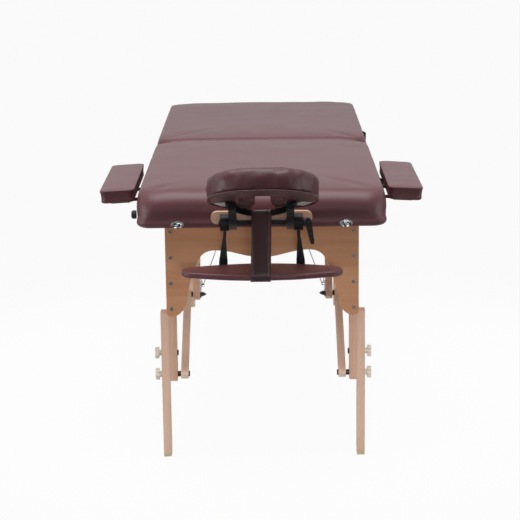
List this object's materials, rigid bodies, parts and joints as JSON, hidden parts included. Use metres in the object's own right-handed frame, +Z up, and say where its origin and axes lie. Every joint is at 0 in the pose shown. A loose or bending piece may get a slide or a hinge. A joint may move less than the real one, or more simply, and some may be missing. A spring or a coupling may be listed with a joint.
{
  "type": "portable massage table",
  "caption": "Portable folding massage table in two hinged sections, with face cradle, hanging arm shelf and side arm pads on wooden legs of adjustable height.",
  "frame": {"origin": "on the floor, under the middle of the whole table with its cradle and arm pads", "axes": "+Z up, +X to the right as seen from the head end, +Y from the head end with the face cradle to the foot end"},
  "size_m": [0.9178, 2.1664, 0.9113],
  "materials": {
    "beech": "pale beech, satin lacquer",
    "black_plastic": "black nylon, satin",
    "black_steel": "black coated steel",
    "cream_plastic": "cream moulded plastic",
    "panel_wood": "beech plywood, satin lacquer",
    "steel": "plated steel",
    "vinyl": "dark burgundy vinyl over foam, soft sheen",
    "webbing": "black woven webbing"
  },
  "bodies": {
    "head_section": {"head_cushion": "vinyl", "head_deck": "beech", "head_frame_rails": "beech", "head_stringers": "beech", "head_leg_brackets": "steel", "head_handle": "webbing", "head_hinge_leaves": "steel", "head_cables": "steel", "latch_plates": "steel", "side_bumper": "black_plastic", "bushes": "black_plastic"},
    "foot_section": {"foot_cushion": "vinyl", "foot_deck": "beech", "foot_frame_rails": "beech", "foot_stringers": "beech", "foot_leg_brackets": "steel", "foot_handle": "webbing", "foot_hinge_leaves": "steel", "foot_cables": "steel", "catch_plates": "steel"},
    "head_legs": {"head_legs": "beech", "head_end_panel": "panel_wood", "head_leg_fasteners": "steel"},
    "head_braces": {"head_braces": "beech"},
    "head_struts": {"head_struts": "beech", "head_knee_hardware": "black_steel"},
    "head_left_extension": {"head_left_extension": "beech"},
    "head_left_upper_knob": {"head_left_upper_knob": "cream_plastic"},
    "head_left_lower_knob": {"head_left_lower_knob": "cream_plastic"},
    "head_right_extension": {"head_right_extension": "beech"},
    "head_right_upper_knob": {"head_right_upper_knob": "cream_plastic"},
    "head_right_lower_knob": {"head_right_lower_knob": "cream_plastic"},
    "foot_legs": {"foot_legs": "beech", "foot_end_panel": "panel_wood", "foot_leg_fasteners": "steel"},
    "foot_braces": {"foot_braces": "beech"},
    "foot_struts": {"foot_struts": "beech", "foot_knee_hardware": "black_steel"},
    "foot_left_extension": {"foot_left_extension": "beech"},
    "foot_left_upper_knob": {"foot_left_upper_knob": "cream_plastic"},
    "foot_left_lower_knob": {"foot_left_lower_knob": "cream_plastic"},
    "foot_right_extension": {"foot_right_extension": "beech"},
    "foot_right_upper_knob": {"foot_right_upper_knob": "cream_plastic"},
    "foot_right_lower_knob": {"foot_right_lower_knob": "cream_plastic"},
    "left_latch_lever": {"left_latch_lever": "steel"},
    "right_latch_lever": {"right_latch_lever": "steel"},
    "cradle_base": {"cradle_posts": "steel", "cradle_crossbar": "panel_wood", "cradle_yoke": "black_plastic", "tilt_bolts": "black_steel", "arm_shelf": "vinyl", "rear_straps": "webbing", "front_strap": "vinyl"},
    "cradle_platform": {"cradle_platform": "black_plastic", "cradle_pillow": "vinyl"},
    "cradle_lever": {"cradle_lever": "black_plastic"},
    "left_pad_body": {"left_arm_pad": "vinyl", "left_pad_rods": "black_steel"},
    "right_pad_body": {"right_arm_pad": "vinyl", "right_pad_rods": "black_steel"}
  },
  "joints": [
    {"name": "table_fold", "type": "hinge", "parent": "head_section", "child": "foot_section", "pos_m": [0, 0.15391, 0.686], "axis": [-1, 0, 0], "range_deg": [0, 90]},
    {"name": "head_leg_fold", "type": "hinge", "parent": "head_section", "child": "head_legs", "pos_m": [0, -0.69309, 0.728], "axis": [1, 0, 0], "range_deg": [0, 90]},
    {"name": "head_brace_fold", "type": "hinge", "parent": "head_legs", "child": "head_braces", "pos_m": [0, -0.69809, 0.246], "axis": [1, 0, 0], "range_deg": [-121.36, 0]},
    {"name": "head_strut_fold", "type": "hinge", "parent": "head_section", "child": "head_struts", "pos_m": [0, -0.24715, 0.723], "axis": [1, 0, 0], "range_deg": [0, 119.72], "deforming": ["head_cables"]},
    {"name": "head_left_height", "type": "slide", "parent": "head_legs", "child": "head_left_extension", "axis": [0, 0, 1], "range_m": [-0.0762, 0.1778]},
    {"name": "head_left_upper_knob_turn", "type": "hinge", "parent": "head_legs", "child": "head_left_upper_knob", "pos_m": [-0.3001, -0.69809, 0.31], "axis": [-1, 0, 0], "continuous": true},
    {"name": "head_left_lower_knob_turn", "type": "hinge", "parent": "head_legs", "child": "head_left_lower_knob", "pos_m": [-0.3001, -0.69809, 0.246], "axis": [-1, 0, 0], "continuous": true},
    {"name": "head_right_height", "type": "slide", "parent": "head_legs", "child": "head_right_extension", "axis": [0, 0, 1], "range_m": [-0.0762, 0.1778]},
    {"name": "head_right_upper_knob_turn", "type": "hinge", "parent": "head_legs", "child": "head_right_upper_knob", "pos_m": [0.3001, -0.69809, 0.31], "axis": [1, 0, 0], "continuous": true},
    {"name": "head_right_lower_knob_turn", "type": "hinge", "parent": "head_legs", "child": "head_right_lower_knob", "pos_m": [0.3001, -0.69809, 0.246], "axis": [1, 0, 0], "continuous": true},
    {"name": "foot_leg_fold", "type": "hinge", "parent": "foot_section", "child": "foot_legs", "pos_m": [0, 1.00091, 0.728], "axis": [-1, 0, 0], "range_deg": [0, 90]},
    {"name": "foot_brace_fold", "type": "hinge", "parent": "foot_legs", "child": "foot_braces", "pos_m": [0, 1.00591, 0.246], "axis": [-1, 0, 0], "range_deg": [-121.36, 0]},
    {"name": "foot_strut_fold", "type": "hinge", "parent": "foot_section", "child": "foot_struts", "pos_m": [0, 0.55497, 0.723], "axis": [-1, 0, 0], "range_deg": [0, 119.72], "deforming": ["foot_cables"]},
    {"name": "foot_left_height", "type": "slide", "parent": "foot_legs", "child": "foot_left_extension", "axis": [0, 0, 1], "range_m": [-0.0762, 0.1778]},
    {"name": "foot_left_upper_knob_turn", "type": "hinge", "parent": "foot_legs", "child": "foot_left_upper_knob", "pos_m": [-0.3001, 1.00591, 0.31], "axis": [-1, 0, 0], "continuous": true},
    {"name": "foot_left_lower_knob_turn", "type": "hinge", "parent": "foot_legs", "child": "foot_left_lower_knob", "pos_m": [-0.3001, 1.00591, 0.246], "axis": [-1, 0, 0], "continuous": true},
    {"name": "foot_right_height", "type": "slide", "parent": "foot_legs", "child": "foot_right_extension", "axis": [0, 0, 1], "range_m": [-0.0762, 0.1778]},
    {"name": "foot_right_upper_knob_turn", "type": "hinge", "parent": "foot_legs", "child": "foot_right_upper_knob", "pos_m": [0.3001, 1.00591, 0.31], "axis": [1, 0, 0], "continuous": true},
    {"name": "foot_right_lower_knob_turn", "type": "hinge", "parent": "foot_legs", "child": "foot_right_lower_knob", "pos_m": [0.3001, 1.00591, 0.246], "axis": [1, 0, 0], "continuous": true},
    {"name": "left_latch", "type": "hinge", "parent": "head_section", "child": "left_latch_lever", "pos_m": [-0.236, -0.77389, 0.694], "axis": [1, 0, 0], "range_deg": [0, 90]},
    {"name": "right_latch", "type": "hinge", "parent": "head_section", "child": "right_latch_lever", "pos_m": [0.236, -0.77389, 0.694], "axis": [1, 0, 0], "range_deg": [0, 90]},
    {"name": "cradle_slide", "type": "slide", "parent": "head_section", "child": "cradle_base", "axis": [0, -1, 0], "range_m": [0, 0.1]},
    {"name": "cradle_tilt", "type": "hinge", "parent": "cradle_base", "child": "cradle_platform", "pos_m": [0, -0.83309, 0.72], "axis": [1, 0, 0], "range_deg": [-35, 10], "deforming": ["front_strap"]},
    {"name": "cradle_cam", "type": "hinge", "parent": "cradle_base", "child": "cradle_lever", "pos_m": [0.129, -0.83309, 0.72], "axis": [0, -1, 0], "range_deg": [0, 90]},
    {"name": "left_pad_slide", "type": "slide", "parent": "head_section", "child": "left_pad_body", "axis": [-0.9986, 0, -0.0523], "range_m": [0, 0.04]},
    {"name": "right_pad_slide", "type": "slide", "parent": "head_section", "child": "right_pad_body", "axis": [0.9986, 0, -0.0523], "range_m": [0, 0.04]}
  ],
  "couplings": [
    {"joint": "head_brace_fold", "follows": "head_leg_fold", "ratio": -1.3485},
    {"joint": "head_strut_fold", "follows": "head_leg_fold", "ratio": 1.3302},
    {"joint": "foot_brace_fold", "follows": "foot_leg_fold", "ratio": -1.3485},
    {"joint": "foot_strut_fold", "follows": "foot_leg_fold", "ratio": 1.3302}
  ]
}
